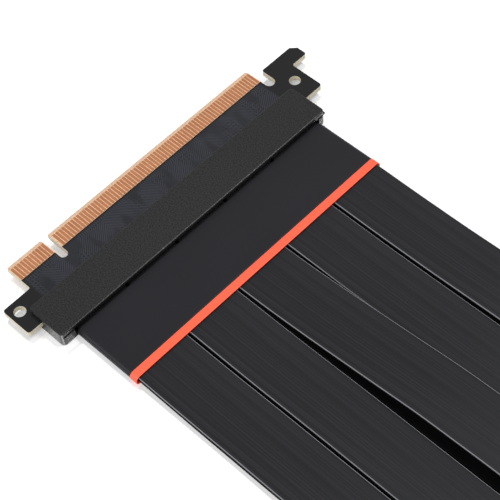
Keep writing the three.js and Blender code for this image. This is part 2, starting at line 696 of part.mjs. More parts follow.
// A pan-head screw with a cross recess, standing in a board's hole.
function screw([x, y]) {
  const profile = [
    [0, -SCREW_LENGTH],
    [SCREW_RADIUS - 0.3, -SCREW_LENGTH],
    [SCREW_RADIUS, -SCREW_LENGTH + 0.3],
    [SCREW_RADIUS, 0],
    [SCREW_HEAD_RADIUS, 0],
    [SCREW_HEAD_RADIUS, SCREW_HEAD_HEIGHT - 0.5],
    [SCREW_HEAD_RADIUS - 0.5, SCREW_HEAD_HEIGHT],
    [0, SCREW_HEAD_HEIGHT],
  ].map(([radius, height]) => new THREE.Vector2(radius, height));
  const turned = new THREE.LatheGeometry(profile, ROUND_SIDES);
  turned.rotateX(Math.PI / 2);
  turned.translate(x, y, socketBoardTop + FIT);
  const top = socketBoardTop + FIT + SCREW_HEAD_HEIGHT;
  const arm = SCREW_HEAD_RADIUS * 0.6;
  const recess = [
    block([x - arm, x + arm], [y - SCREW_SLOT / 2, y + SCREW_SLOT / 2], [top - 0.7, top + 1]),
    block([x - SCREW_SLOT / 2, x + SCREW_SLOT / 2], [y - arm, y + arm], [top - 0.7, top + 1]),
  ];
  return toSolid(turned).subtract(joinAll(recess));
}

const housingNear = coverDepth + HOUSING_OFFSET;
const housingX = reach(socketFace, 1, housingNear, housingNear + HOUSING_WIDTH);
const housingMiddle = (housingX[0] + housingX[1]) / 2;
const housingEnd = edgeRight + HOUSING_END_WALL;
const pivot = new THREE.Vector3(housingMiddle, housingEnd + PIVOT_OUT, socketBoardTop + PIVOT_UP);

function pivotBar(radius, halfLength) {
  const bar = new THREE.CylinderGeometry(radius, radius, 2 * halfLength, ROUND_SIDES);
  bar.rotateZ(Math.PI / 2);
  bar.translate(pivot.x, pivot.y, pivot.z);
  return toSolid(bar);
}

// The card socket: a slot split by the key, spring contacts down both walls, and the latch's yoke.
function socketHousing() {
  const low = socketBoardTop + FIT;
  const top = low + HOUSING_HEIGHT;
  const slotFloor = top - SLOT_DEPTH;
  const slotX = [housingMiddle - SLOT_WIDTH / 2, housingMiddle + SLOT_WIDTH / 2];
  const body = plate(roundedOutline(housingX, [-housingEnd, housingEnd], 0.5), [low, top], 0.2);
  const slots = [
    [edgeLeft - SLOT_CLEARANCE, keyLeft + KEY_CLEARANCE],
    [keyRight - KEY_CLEARANCE, edgeRight + SLOT_CLEARANCE],
  ];
  const cuts = slots.map((across) => block(slotX, across, [slotFloor, top + 1]));
  const leadIns = slots.map(([y0, y1]) => {
    const wedge = new THREE.Shape();
    wedge.moveTo(housingMiddle - SLOT_WIDTH / 2, top - SLOT_LEAD_IN);
    wedge.lineTo(housingMiddle + SLOT_WIDTH / 2, top - SLOT_LEAD_IN);
    wedge.lineTo(housingMiddle + SLOT_WIDTH / 2 + 2 * SLOT_LEAD_IN, top + SLOT_LEAD_IN);
    wedge.lineTo(housingMiddle - SLOT_WIDTH / 2 - 2 * SLOT_LEAD_IN, top + SLOT_LEAD_IN);
    const geometry = new THREE.ExtrudeGeometry(wedge, { depth: y1 - y0, bevelEnabled: false });
    geometry.rotateX(Math.PI / 2);
    geometry.translate(0, y1, 0);
    return toSolid(geometry);
  });
  const springs = contactPlaces().flatMap((y) => [-1, 1].map((side) => {
    const wall = housingMiddle + (side * SLOT_WIDTH) / 2;
    const inner = wall - side * SPRING_RISE;
    const outer = wall + side * 0.2;
    return block(
      [Math.min(inner, outer), Math.max(inner, outer)],
      [y - SPRING_WIDTH / 2, y + SPRING_WIDTH / 2],
      [slotFloor - 0.2, top - SPRING_TOP],
    );
  }));
  const yokeAcross = [housingEnd - 0.6, housingEnd + YOKE_LENGTH];
  const yoke = [
    block(housingX, yokeAcross, [low, low + YOKE_FLOOR]),
    block([housingX[0], housingX[0] + CHEEK], yokeAcross, [low, low + YOKE_HEIGHT]),
    block([housingX[1] - CHEEK, housingX[1]], yokeAcross, [low, low + YOKE_HEIGHT]),
  ];
  return body.subtract(joinAll(cuts)).subtract(joinAll(leadIns)).add(joinAll(springs))
    .add(joinAll(yoke)).subtract(pivotBar(PIVOT_RADIUS + LATCH_GAP, HOUSING_WIDTH));
}

// The latch swings outwards about its stub pins. Its nub catches a card's hook.
function socketLatch() {
  const nubReach = PIVOT_OUT - 2 * LATCH_GAP;
  const crown = LATCH_HEIGHT - PIVOT_UP;
  const inner = -LATCH_STEM * 0.65;
  const outer = LATCH_STEM * 0.35;
  const nubLow = LATCH_NUB_LOW - PIVOT_UP;
  const nubHigh = LATCH_NUB_HIGH - PIVOT_UP;
  const lever = new THREE.Shape();
  lever.absarc(0, 0, LATCH_HUB, Math.PI * 0.72, Math.PI * 2.35, false);
  lever.lineTo(outer, LATCH_HUB + 1);
  lever.lineTo(outer, crown);
  lever.lineTo(inner, crown);
  lever.lineTo(inner, nubHigh);
  lever.lineTo(-nubReach, nubHigh - 0.6);
  lever.lineTo(-nubReach, nubLow);
  lever.lineTo(inner, nubLow);
  lever.lineTo(inner, LATCH_HUB);
  const tab = new THREE.Shape();
  tab.moveTo(inner, crown - 1.3);
  tab.lineTo(outer, crown - 1.8);
  tab.lineTo(outer + LATCH_TAB, crown - 0.5);
  tab.lineTo(outer + LATCH_TAB, crown + 0.3);
  tab.lineTo(inner, crown);
  const along = (shape, halfWidth) => {
    const geometry = new THREE.ExtrudeGeometry(shape, {
      depth: 2 * halfWidth,
      bevelEnabled: false,
      curveSegments: 14,
    });
    geometry.applyMatrix4(alongX);
    geometry.translate(pivot.x - halfWidth, pivot.y, pivot.z);
    return toSolid(geometry);
  };
  const halfWidth = HOUSING_WIDTH / 2 - CHEEK - LATCH_GAP;
  const slit = block(
    [pivot.x - LATCH_SLIT / 2, pivot.x + LATCH_SLIT / 2],
    [pivot.y - LATCH_STEM, pivot.y + LATCH_STEM],
    [pivot.z + LATCH_HUB + 0.6, pivot.z + nubLow],
  );
  return joinAll([
    along(lever, halfWidth).subtract(slit),
    along(tab, HOUSING_WIDTH / 2 - 0.4),
    pivotBar(PIVOT_RADIUS, halfWidth + LATCH_GAP + CHEEK - 0.4),
  ]);
}

const materials = {
  board: () => finish(colours.board, 0.45),
  shell: () => finish(colours.shell, 0.7),
  wrap: () => finish(colours.wrap, 0.5),
  band: () => finish(colours.band, 0.42),
  stripe: () => finish(colours.stripe, 0.5),
  metal: () => finish(colours.metal, 0.35, 1),
  moulding: () => finish(colours.moulding, 0.5),
};

function cable() {
  const group = new THREE.Group();
  for (let i = 0; i < BAND_COUNT; i += 1) {
    group.add(named(`band_upper_${i + 1}`, band(i, true), materials.band()));
    group.add(named(`band_lower_${i + 1}`, band(i, false), materials.band()));
  }
  const wraps = [
    ['plug', plugFace, 1, 0],
    ['socket', socketFace, -1, socketLift],
  ];
  for (const [end, face, direction, lift] of wraps) {
    const stripeStart = SHEATH_GAP + SHEATH_LENGTH;
    const sheath = ring(reach(face, direction, SHEATH_GAP, stripeStart), lift, 0);
    const stripeX = reach(face, direction, stripeStart + FIT, stripeStart + STRIPE_WIDTH);
    const stripe = ring(stripeX, lift, STRIPE_PROUD);
    group.add(named(`${end}_sheath`, sheath, materials.wrap()));
    group.add(named(`${end}_stripe`, stripe, materials.stripe()));
  }
  return group;
}

function plugEnd() {
  const group = new THREE.Group();
  const bar = (upper) => groundBar(plugFace, -1, plugBoardBase, upper);
  group.add(named('plug_board', plugBoard(), materials.board()));
  group.add(named('plug_cover_top', coverTop({
    face: plugFace,
    direction: -1,
    left: coverLeft,
    right: coverRight,
    boardTop: plugBoardTop,
    pegs: pegPlaces(plugFace, -1),
  }), materials.shell()));
  group.add(named('plug_cover_base', plugCoverBase(), materials.shell()));
  group.add(named('plug_ground_bar_upper', bar(true), materials.metal()));
  group.add(named('plug_ground_bar_lower', bar(false), materials.metal()));
  return group;
}

function socketEnd() {
  const group = new THREE.Group();
  const bar = (upper) => groundBar(socketFace, 1, TRAY_HEIGHT, upper);
  group.add(named('socket_board', socketBoard(), materials.board()));
  group.add(named('socket_base_tray', socketBaseTray(), materials.shell()));
  group.add(named('socket_cover_top', coverTop({
    face: socketFace,
    direction: 1,
    left: socketCoverHalf,
    right: socketCoverHalf,
    boardTop: socketBoardTop,
    pegs: pegPlaces(socketFace, 1),
  }), materials.shell()));
  group.add(named('socket_ground_bar_upper', bar(true), materials.metal()));
  group.add(named('socket_ground_bar_lower', bar(false), materials.metal()));
  group.add(named('socket_housing', socketHousing(), materials.moulding()));
  group.add(named('socket_latch', socketLatch(), materials.moulding()));
  group.add(named('socket_screw_left', screw(screwPlaces[0]), materials.metal()));
  group.add(named('socket_screw_right', screw(screwPlaces[1]), materials.metal()));
  return group;
}

const riser = new THREE.Group();
riser.add(plugEnd(), cable(), socketEnd());
riser.position.set(-totalLength / 2, 0, 0);

export default riser;
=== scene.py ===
# %% [markdown]
# # A flat riser cable for a graphics card
# The cable has an edge plug, five flat bands in two layers, and a card socket. Its solids come
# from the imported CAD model, and this lesson dresses them. Everything is in metres. X runs from
# the plug to the socket, Y along the card edge towards the hook, and Z up from the table.

# %% Load the solids
import math

import bmesh
import bpy
from mathutils import Matrix, Vector


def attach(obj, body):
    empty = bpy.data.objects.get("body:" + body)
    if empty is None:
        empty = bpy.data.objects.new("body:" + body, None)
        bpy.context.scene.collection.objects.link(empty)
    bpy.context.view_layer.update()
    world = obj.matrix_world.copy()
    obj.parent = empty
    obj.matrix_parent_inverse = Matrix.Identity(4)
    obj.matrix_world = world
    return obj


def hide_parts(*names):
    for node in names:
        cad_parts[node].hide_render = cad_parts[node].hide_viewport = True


MM = 0.001
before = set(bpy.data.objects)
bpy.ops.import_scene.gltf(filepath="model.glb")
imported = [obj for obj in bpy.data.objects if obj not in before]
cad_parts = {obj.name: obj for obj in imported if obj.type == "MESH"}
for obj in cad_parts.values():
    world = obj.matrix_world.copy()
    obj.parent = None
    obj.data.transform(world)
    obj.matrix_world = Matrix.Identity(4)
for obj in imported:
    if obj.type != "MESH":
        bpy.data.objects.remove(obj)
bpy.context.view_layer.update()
scene = bpy.context.scene

# %% [markdown]
# ## Camera
# The card edge is a standard size, so a camera could be worked out from the straight edges of the
# plug in the picture. A long lens from close by gives the same mild perspective. The camera is
# aimed at a point on the table and then rolled a little, which is easier to read than angles.

# %% Aim the camera
CAMERA_PLACE = Vector((0.08416, -0.14482, 0.31872))
CAMERA_TARGET = Vector((-0.08804, 0.00278, 0.0))
CAMERA_ROLL = math.radians(-6.62)
lens = bpy.data.cameras.new("camera")
lens.lens = 113.2
lens.sensor_width = 36.0
camera = bpy.data.objects.new("camera", lens)
scene.collection.objects.link(camera)
aim = (CAMERA_TARGET - CAMERA_PLACE).to_track_quat("-Z", "Y").to_matrix().to_4x4()
camera.matrix_world = Matrix.Translation(CAMERA_PLACE) @ aim @ Matrix.Rotation(CAMERA_ROLL, 4, "Z")
scene.camera = camera
print("camera distance:", round((CAMERA_TARGET - CAMERA_PLACE).length, 4), "m")

# %% [markdown]
# ## Sizes that the cable shares with its solids
# The route of each band is given by the same points as in the CAD model: a seat on the plug's
# board, a bend down to the mouth, the free run, and the mirror of that at the socket. A band in
# the upper layer also has its own rise and sway, because it lies loose between the two wraps.

# %% Places along the cable
CENTRE = 128.0
PLUG_FACE = 26.25
CABLE_LENGTH = 200.0
SOCKET_LIFT = 2.27
BOARD_TOP = 3.30
BOARD_BASE = 1.73
BOARD_INSET = 5.75
SEAT_LENGTH = 1.4
BAND_PITCH = {"upper": 17.1, "lower": 16.9}
BAND_WIDTH = {"upper": 16.3, "lower": 16.86}
BAND_THICKNESS = 0.8
LEVELS = {"upper": 2.2, "lower": 1.1}
SEATS = {"upper": BOARD_TOP + 0.48, "lower": BOARD_BASE - 0.48}
WRAP_END = 22.0
SHARES = (0, 0.05, 0.115, 0.19, 0.27, 0.345, 0.42, 0.5, 0.575, 0.655, 0.73, 0.805, 0.885, 0.945, 1)
STATIONS = [WRAP_END + share * (CABLE_LENGTH - 2 * WRAP_END) for share in SHARES]
CLIMB = (0, -0.2, -0.45, -0.55, -0.6, -0.6, -0.6, -0.6, -0.6, -0.5, -0.1, 0.5, 1.3, 1.9, 2.2)
RISE = (
    (0, 0, 0.1, 0.3, 0.5, 0.7, 0.8, 0.8, 0.7, 0.6, 0.4, 0.3, 0.1, 0, 0),
    (0, 0, 0, 0.1, 0.2, 0.3, 0.4, 0.5, 0.6, 0.6, 0.5, 0.3, 0.1, 0, 0),
    (0, 0.4, 1.1, 1.9, 2.6, 3.2, 3.5, 3.6, 3.4, 2.9, 2.2, 1.5, 0.8, 0.3, 0),
    (0, 0, 0, 0.1, 0.2, 0.3, 0.3, 0.3, 0.3, 0.3, 0.2, 0.2, 0.1, 0, 0),
    (0, 0, 0.1, 0.2, 0.4, 0.5, 0.6, 0.6, 0.6, 0.5, 0.4, 0.2, 0.1, 0, 0),
)
SWAY = (
    (0, 0, 0, 0, -0.1, -0.2, -0.3, -0.4, -0.4, -0.4, -0.3, -0.2, -0.1, 0, 0),
    (0, 0, 0, 0, 0, -0.1, -0.2, -0.3, -0.3, -0.3, -0.2, -0.1, 0, 0, 0),
    (0, 0, 0.1, 0.3, 0.6, 0.9, 1.0, 1.1, 1.1, 1.0, 0.8, 0.5, 0.2, 0, 0),
    (0, 0, 0, 0, 0, 0, 0.1, 0.1, 0.1, 0.1, 0.1, 0, 0, 0, 0),
    (0, 0, 0, 0, 0.1, 0.2, 0.2, 0.3, 0.3, 0.3, 0.2, 0.1, 0, 0, 0),
)


def band_route(index, layer):
    """The points that one band follows, in metres."""
    middle = (index - 2) * BAND_PITCH[layer]
    level, seat = LEVELS[layer], SEATS[layer]
    inside = (
        (-BOARD_INSET - SEAT_LENGTH, seat),
        (-BOARD_INSET - 0.1, seat),
        (-BOARD_INSET + 1.6, seat + (level - seat) * 0.25),
        (-BOARD_INSET + 3.2, seat + (level - seat) * 0.8),
        (-0.9, level),
        (1.5, level),
        (12, level),
    )
    points = [(along, 0, height) for along, height in inside]
    for i, station in enumerate(STATIONS):
        rise = RISE[index][i] if layer == "upper" else 0
        sway = SWAY[index][i] if layer == "upper" else 0
        points.append((station, sway, level + CLIMB[i] + rise))
    points += [(CABLE_LENGTH - along, 0, height + SOCKET_LIFT) for along, height in reversed(inside)]
    return [
        Vector((PLUG_FACE + along - CENTRE, middle + sway, height)) * MM
        for along, sway, height in points
    ]


def smooth_route(points, steps):
    """More points on a curve through the given ones."""
    ends = [2 * points[0] - points[1], *points, 2 * points[-1] - points[-2]]
    finer = []
    for i in range(1, len(ends) - 2):
        before, start, stop, after = ends[i - 1 : i + 3]
        spans = [(b - a).length ** 0.5 for a, b in ((before, start), (start, stop), (stop, after))]
        leave = ((start - before) / spans[0] - (stop - before) / (spans[0] + spans[1])) * spans[1]
        leave += stop - start
        arrive = ((after - stop) / spans[2] - (after - start) / (spans[1] + spans[2])) * spans[1]
        arrive += stop - start
        for k in range(steps):
            t = k / steps
            finer.append(
                start * (2 * t**3 - 3 * t**2 + 1)
                + leave * (t**3 - 2 * t**2 + t)
                + stop * (3 * t**2 - 2 * t**3)
                + arrive * (t**3 - t**2)
            )
    return finer + [points[-1]]


def route_length(points):
    return sum((b - a).length for a, b in zip(points, points[1:]))


print("band length:", round(route_length(smooth_route(band_route(2, "upper"), 4)), 4), "m")

# %% [markdown]
# ## The bands
# Each band is a flat pack of shielded wires in a thin satin jacket, with a thin sealed margin along
# both edges. A curve with a flat bevel could make it, but that gives no control of the margin. Here
# a section is drawn once and extruded from station to station, and each vertex keeps how far
# along and across the band it is, so that the jacket's lines can follow the band later. The lower
# bands lie edge to edge, so that no table shows through the slits between the upper ones.

# %% Draw the section and pull it along the route
def band_section(width):
    """A flat pack with a rounded rim: height and distance in from the edge, mirrored four ways."""
    rim = ((0.0, 0.12), (0.05, 0.24), (0.12, 0.34), (0.2, 0.39), (0.3, 0.40), (0.7, 0.40), (4.0, 0.40))
    right = [(width / 2 - inward, height) for inward, height in rim]
    left = [(-side, height) for side, height in reversed(right)]
    top = right + [(0.0, 0.40)] + left
    return top + [(side, -height) for side, height in reversed(top)]


def new_piece(name, mesh_maker, material, body="cable"):
    """Make an object from a bmesh, and fix it to the body that it rides on."""
    data = bpy.data.meshes.new(name)
    mesh_maker.to_mesh(data)
    mesh_maker.free()
    piece = bpy.data.objects.new(name, data)
    scene.collection.objects.link(piece)
    if material is not None:
        data.materials.append(material)
    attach(piece, body)
    return piece


def pull_section(section, route):
    """Extrude a closed section along a route that runs roughly along X."""
    bm = bmesh.new()
    along = bm.verts.layers.float.new("along")
    across = bm.verts.layers.float.new("across")
    loop = []
    for side, height in section:
        vertex = bm.verts.new((0, side * MM, height * MM))
        vertex[across] = side * MM
        loop.append(vertex)
    edges = [bm.edges.new((a, b)) for a, b in zip(loop, loop[1:] + loop[:1])]
    placed = Matrix.Identity(4)
    gone = 0.0
    for i, point in enumerate(route):
        ahead = (route[min(i + 1, len(route) - 1)] - route[max(i - 1, 0)]).normalized()
        aside = Vector((0, 0, 1)).cross(ahead).normalized()
        upward = ahead.cross(aside)
        stand = Matrix((ahead, aside, upward)).transposed().to_4x4()
        stand.translation = point
        if i:
            gone += (point - route[i - 1]).length
            grown = bmesh.ops.extrude_edge_only(bm, edges=edges)["geom"]
            loop = [g for g in grown if isinstance(g, bmesh.types.BMVert)]
            edges = [
                g for g in grown
                if isinstance(g, bmesh.types.BMEdge) and all(v in loop for v in g.verts)
            ]
        bmesh.ops.transform(bm, matrix=stand @ placed.inverted(), verts=loop)
        placed = stand
        for vertex in loop:
            vertex[along] = gone
    bmesh.ops.holes_fill(bm, edges=[e for e in bm.edges if e.is_boundary])
    bmesh.ops.recalc_face_normals(bm, faces=bm.faces)
    return bm


bands = {}
for layer in ("upper", "lower"):
    for index in range(5):
        route = smooth_route(band_route(index, layer), 6)
        strap = pull_section(band_section(BAND_WIDTH[layer]), route)
        for face in strap.faces:
            face.smooth = True
        name = f"flat_band_{layer}_{index + 1}"
        piece = new_piece(name, strap, None)
        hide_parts(f"band_{layer}_{index + 1}")
        route_length(route)
        bands[name] = piece
print("bands:", len(bands), "faces each:", len(piece.data.polygons))

# %% [markdown]
# ## A short way to write a finish
# A finish is a set of shader nodes. Written one by one they hide what they work out, so a Wire
# stands for one socket and adds a Math node for each sign in a Python expression. Every other
# node comes from one method, and a colour goes through a Mix node so that it keeps its hue.

# %% Wires and finishes
class Wire:
    """One number that varies over a surface."""

    def __init__(self, finish, socket):
        self.finish = finish
        self.socket = socket

    def sum_of(self, operation, *values):
        return self.finish.node("ShaderNodeMath", {"operation": operation}, dict(enumerate(values)))

    def __add__(self, other):
        return self.sum_of("ADD", self, other)

    def __sub__(self, other):
        return self.sum_of("SUBTRACT", self, other)

    def __rsub__(self, other):
        return self.sum_of("SUBTRACT", other, self)

    def __mul__(self, other):
        return self.sum_of("MULTIPLY", self, other)

    def __truediv__(self, other):
        return self.sum_of("DIVIDE", self, other)

    def __gt__(self, other):
        return self.sum_of("GREATER_THAN", self, other)

    def __lt__(self, other):
        return self.sum_of("LESS_THAN", self, other)

    def at_least(self, least):
        return self.sum_of("MAXIMUM", self, least)

    def __abs__(self):
        return self.sum_of("ABSOLUTE", self)

    __radd__ = __add__
    __rmul__ = __mul__


def shade(red, green, blue):
    """A screen colour from 0 to 255 as the linear colour that nodes take."""
    parts = [c / 255 for c in (red, green, blue)]
    return (*[c / 12.92 if c < 0.04045 else ((c + 0.055) / 1.055) ** 2.4 for c in parts], 1.0)


class Finish:
    """One material and the nodes that colour it."""

    def __init__(self, name, roughness=0.5, metallic=0.0, specular=0.5):
        self.material = bpy.data.materials.new(name)
        self.material.use_nodes = True
        self.tree = self.material.node_tree
        self.shader = self.tree.nodes["Principled BSDF"]
        self.shader.inputs["Roughness"].default_value = roughness
        self.shader.inputs["Metallic"].default_value = metallic
        self.shader.inputs["Specular IOR Level"].default_value = specular

    def node(self, kind, settings=None, inputs=None, out=0):
        made = self.tree.nodes.new(kind)
        for name, value in (settings or {}).items():
            if name == "stops":
                for stop, (place, colour) in zip(made.color_ramp.elements, value):
                    stop.position, stop.color = place, colour
            else:
                setattr(made, name, value)
        for name, value in (inputs or {}).items():
            if isinstance(value, Wire):
                self.tree.links.new(value.socket, made.inputs[name])
            else:
                made.inputs[name].default_value = value
        return Wire(self, made.outputs[out])

    def place(self):
        """Object coordinates, whole and as x, y and z."""
        whole = self.node("ShaderNodeTexCoord", out="Object")
        return whole, [self.node("ShaderNodeSeparateXYZ", {}, {0: whole}, axis) for axis in "XYZ"]

    def upright(self, most=0.6):
        """1 on faces that look sideways, 0 on faces that look up or down."""
        normal = self.node("ShaderNodeNewGeometry", out="True Normal")
        return abs(self.node("ShaderNodeSeparateXYZ", {}, {0: normal}, "Z")) < most

    def facing_up(self, least):
        """1 on faces that look up by at least this much."""
        normal = self.node("ShaderNodeNewGeometry", out="True Normal")
        return self.node("ShaderNodeSeparateXYZ", {}, {0: normal}, "Z") > least

    def noise(self, scale, detail=2.0, vector=None, stretch=None):
        vector = vector or self.place()[0]
        if stretch:
            vector = self.node("ShaderNodeMapping", {}, {"Vector": vector, "Scale": stretch})
        return self.node("ShaderNodeTexNoise", {}, {"Vector": vector, "Scale": scale, "Detail": detail})

    def grain(self, scale, detail=2.0, vector=None, stretch=None):
        """Noise with its middle drawn apart, so that single grains and lines can be told apart."""
        return self.soft_step(self.noise(scale, detail, vector, stretch), 0.34, 0.66)

    def soft_step(self, value, start, stop):
        """Goes smoothly from 0 to 1 while the value goes from start to stop."""
        settings = {"interpolation_type": "SMOOTHSTEP"}
        limits = {"Value": value, "From Min": start, "From Max": stop}
        return self.node("ShaderNodeMapRange", settings, limits)

    def wave(self, value, period):
        """Ridges with a round top, from 0 to 1, that repeat over a length in metres."""
        turned = value * (math.tau / period)
        return turned.sum_of("SINE", turned) * 0.5 + 0.5

    def mix(self, mask, first, second):
        return self.node(
            "ShaderNodeMix", {"data_type": "RGBA"}, {0: mask, 6: first, 7: second}, 2
        )

    def set(self, name, wire):
        self.tree.links.new(wire.socket, self.shader.inputs[name])

    def bump(self, height, depth):
        normal = self.node("ShaderNodeBump", {}, {"Height": height, "Distance": depth, "Strength": 1.0})
        self.set("Normal", normal)


print("finish helpers ready")

# %% [markdown]
# ## The jacket of the bands
# The jacket is black film with a satin sheen. The wires inside show as soft ridges along the band,
# and the film itself has fine drawn lines. The sealed margin is thinner, and a pale line along it
# is a painted highlight, stronger on the +Y edge. These follow the band, so they are read from the
# along and across values that the section left on it. Faces that do not look up, and the bands
# inside the wraps and covers, are painted near black as painted shade.

# %% Finish the bands
# Between these two places the bands run free. Outside them, inside the wraps and covers, the bands are
# painted near black as painted shade.
FREE_START = 26.0 * MM
FREE_END = 188.0 * MM


def band_finish(name, half, tones, edge_highlight_colour, gloss):
    finish = Finish(name, roughness=0.42, specular=gloss)
    across = finish.node("ShaderNodeAttribute", {"attribute_name": "across"}, out="Fac")
    along = finish.node("ShaderNodeAttribute", {"attribute_name": "along"}, out="Fac")
    flat = finish.node("ShaderNodeCombineXYZ", {}, {"X": along, "Y": across})
    drawn = finish.grain(1.0, 3.0, flat, (10, 2300, 1))
    broad = finish.noise(1.0, 1.0, flat, (14, 200, 1))
    ridges = finish.wave(across, 1.45 * MM)
    # A pale line along both band edges is a painted highlight, half as strong on the -Y edge.
    near_edge_highlight = finish.soft_step(across * -1, (half - 0.30) * MM, (half - 0.22) * MM) * 0.5
    far_edge_highlight = finish.soft_step(across, (half - 0.24) * MM, (half - 0.16) * MM)
    top = finish.facing_up(0.45)
    free = (along > FREE_START) * (along < FREE_END)
    tone = finish.mix(drawn * 0.65 + broad * 0.35, *tones)
    tone = finish.mix(near_edge_highlight + far_edge_highlight, tone, edge_highlight_colour)
    # Faces that do not look up, and the band outside the free run, get a near-black painted shade.
    finish.set("Base Color", finish.mix(top * free, shade(5, 5, 5), tone))
    finish.set("Roughness", 0.75 - top * (0.35 - 0.1 * broad))
    finish.bump(ridges * 0.3 + drawn * 0.5, 0.008 * MM)
    return finish.material


film_tones = shade(12, 12, 14), shade(32, 32, 35)
film = band_finish("satin film", BAND_WIDTH["upper"] / 2, film_tones, shade(150, 150, 156), 0.16)
shaded_tones = shade(5, 5, 6), shade(9, 9, 10)
lower_film = band_finish("shaded film", BAND_WIDTH["lower"] / 2, shaded_tones, shade(8, 8, 9), 0.05)
for name, piece in bands.items():
    piece.data.materials.append(film if "upper" in name else lower_film)
print("finished", len(bands), "bands with", film.name)

# %% [markdown]
# ## The plug's circuit board
# The board is glass laminate under a black solder mask. At the card edge the mask stops and the
# contacts show, with bare laminate between them. Cut edges show the pale laminate too. The solid
# already has the contacts as thin ridges, so the finish only needs to know where it is: along X
# for the mask's line, and along Z for a contact's top.

# %% Finish the plug's board
EDGE_LINE = (5.68 - CENTRE) * MM


def board_finish(name, base, top, contact_line=None):
    finish = Finish(name, roughness=0.45, specular=0.2)
    whole, (x, y, z) = finish.place()
    cut_edge = finish.upright()
    weave = finish.grain(2600)
    cloudy = finish.noise(160, 2.0)
    laminate = finish.mix(weave, shade(190, 182, 158), shade(214, 206, 186))
    run = (x - (EDGE_LINE + 1.6 * MM)).at_least(0)
    slant = (finish.wave(y, 34 * MM) > 0.5) * 1.6 - 0.8
    traces = finish.soft_step(finish.wave(y + slant * run, 0.64 * MM), 0.5, 0.8)
    traces = traces * finish.soft_step(finish.noise(1.0, 1.0, whole, (60, 190, 1)), 0.4, 0.5)
    cells = {"Vector": whole, "Scale": 1050, "Randomness": 0.3}
    vias = finish.node("ShaderNodeTexVoronoi", {"voronoi_dimensions": "2D"}, cells, "Distance") < 0.24
    vias = vias * (finish.noise(170, 0.0) > 0.6)
    mask = finish.mix(cloudy * 0.35 + traces * 0.55, shade(15, 16, 20), shade(52, 54, 61))
    mask = finish.mix(vias * 0.8, mask, shade(12, 12, 14))
    height = traces * 0.5
    roughness = 0.34 + 0.12 * cloudy
    colour = mask
    if contact_line is not None:
        copper_plane = finish.soft_step(abs(y), 42.4 * MM, 41.6 * MM)
        copper_plane = copper_plane * finish.soft_step(x, EDGE_LINE + 0.25 * MM, EDGE_LINE + 0.9 * MM)
        mask = finish.mix(copper_plane, shade(13, 13, 15), mask)
        height = height * copper_plane
        bare = (x < contact_line) * (abs(y) < 43.6 * MM)
        contact = (abs(z - (base + top) / 2 * MM) > (top - base) / 2 * MM + 0.012 * MM) * bare
        bare_face = finish.mix(weave, shade(186, 152, 124), shade(212, 178, 150))
        worn = finish.noise(900, 2.0, whole, (0.2, 1, 1))
        gold = finish.mix(worn, shade(150, 94, 60), shade(182, 122, 84))
        colour = finish.mix(bare, mask, finish.mix(contact, bare_face, gold))
        cut_edge = cut_edge * (1 - contact)
        finish.set("Metallic", contact * 0.45)
    finish.set("Base Color", finish.mix(cut_edge, colour, laminate))
    finish.set("Roughness", roughness + cut_edge * 0.2)
    finish.bump(height, 0.02 * MM)
    return finish.material


def dress(node, material):
    """Give a CAD solid a finish."""
    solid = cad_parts[node]
    solid.data.materials.clear()
    solid.data.materials.append(material)


plug_mask = board_finish("black solder mask, card edge", BOARD_BASE, BOARD_TOP, EDGE_LINE)
socket_mask = board_finish("black solder mask, socket", 4.0, 5.57)
dress("plug_board", plug_mask)
dress("socket_board", socket_mask)
print("board finishes:", plug_mask.name, "and", socket_mask.name)

# %% [markdown]
# ## Moulded shells
# The covers are injection moulded in black plastic with a fine spark texture, which scatters the
# light so that the flat top looks soft and the edges catch a thin line. Two sizes of noise make the
# grain, and the gloss varies a little with it. On the covers the upright walls have a clear coat
# and a near-black colour, partly for their polish and partly as painted shade on the back face.

# %% Finish the covers, the tray, the socket and the latch
def moulded_finish(name, tones, grain, depth, roughness, polish_and_wall_shade=0.0):
    finish = Finish(name, roughness=roughness, specular=0.2)
    fine = finish.grain(grain)
    cloudy = finish.noise(25, 1.0)
    wall = finish.upright(0.3) * polish_and_wall_shade
    rounding = finish.facing_up(0.3) * (1 - finish.facing_up(0.97))
    grained = finish.mix(fine * 0.75 + cloudy * 0.25, *tones)
    # Upright walls get a near-black base under a clear coat: partly the polished walls' own look, partly
    # painted shade for the back face.
    finish.set("Base Color", finish.mix(wall, grained, shade(6, 6, 6)))
    finish.set("Roughness", roughness - 0.08 + 0.16 * fine - wall * 0.1 - rounding * 0.18)
    finish.set("Coat Weight", wall)
    finish.shader.inputs["Coat Roughness"].default_value = 0.1
    finish.bump(fine, depth)
    return finish.material


spark_black = moulded_finish(
    "spark textured black plastic", (shade(7, 7, 7), shade(38, 38, 39)), 2700, 0.02 * MM, 0.5, 1.0
)
smooth_black = moulded_finish(
    "moulded black nylon", (shade(12, 12, 13), shade(26, 26, 28)), 1500, 0.01 * MM, 0.42
)
for node in ("plug_cover_top", "plug_cover_base", "socket_cover_top", "socket_base_tray"):
    dress(node, spark_black)
for node in ("socket_housing", "socket_latch"):
    dress(node, smooth_black)
print("moulded finishes:", spark_black.name, "and", smooth_black.name)

# %% [markdown]
# ## Wrap and stripe
# A smooth sleeve holds the bands together behind each cover, and ends in an orange ring. Both are
# tubes with a flat section and fully rounded sides. A rounded bar could be cut hollow, but it is
# quicker to draw the section, pull it into a skin, and let a Solidify modifier give it a wall.

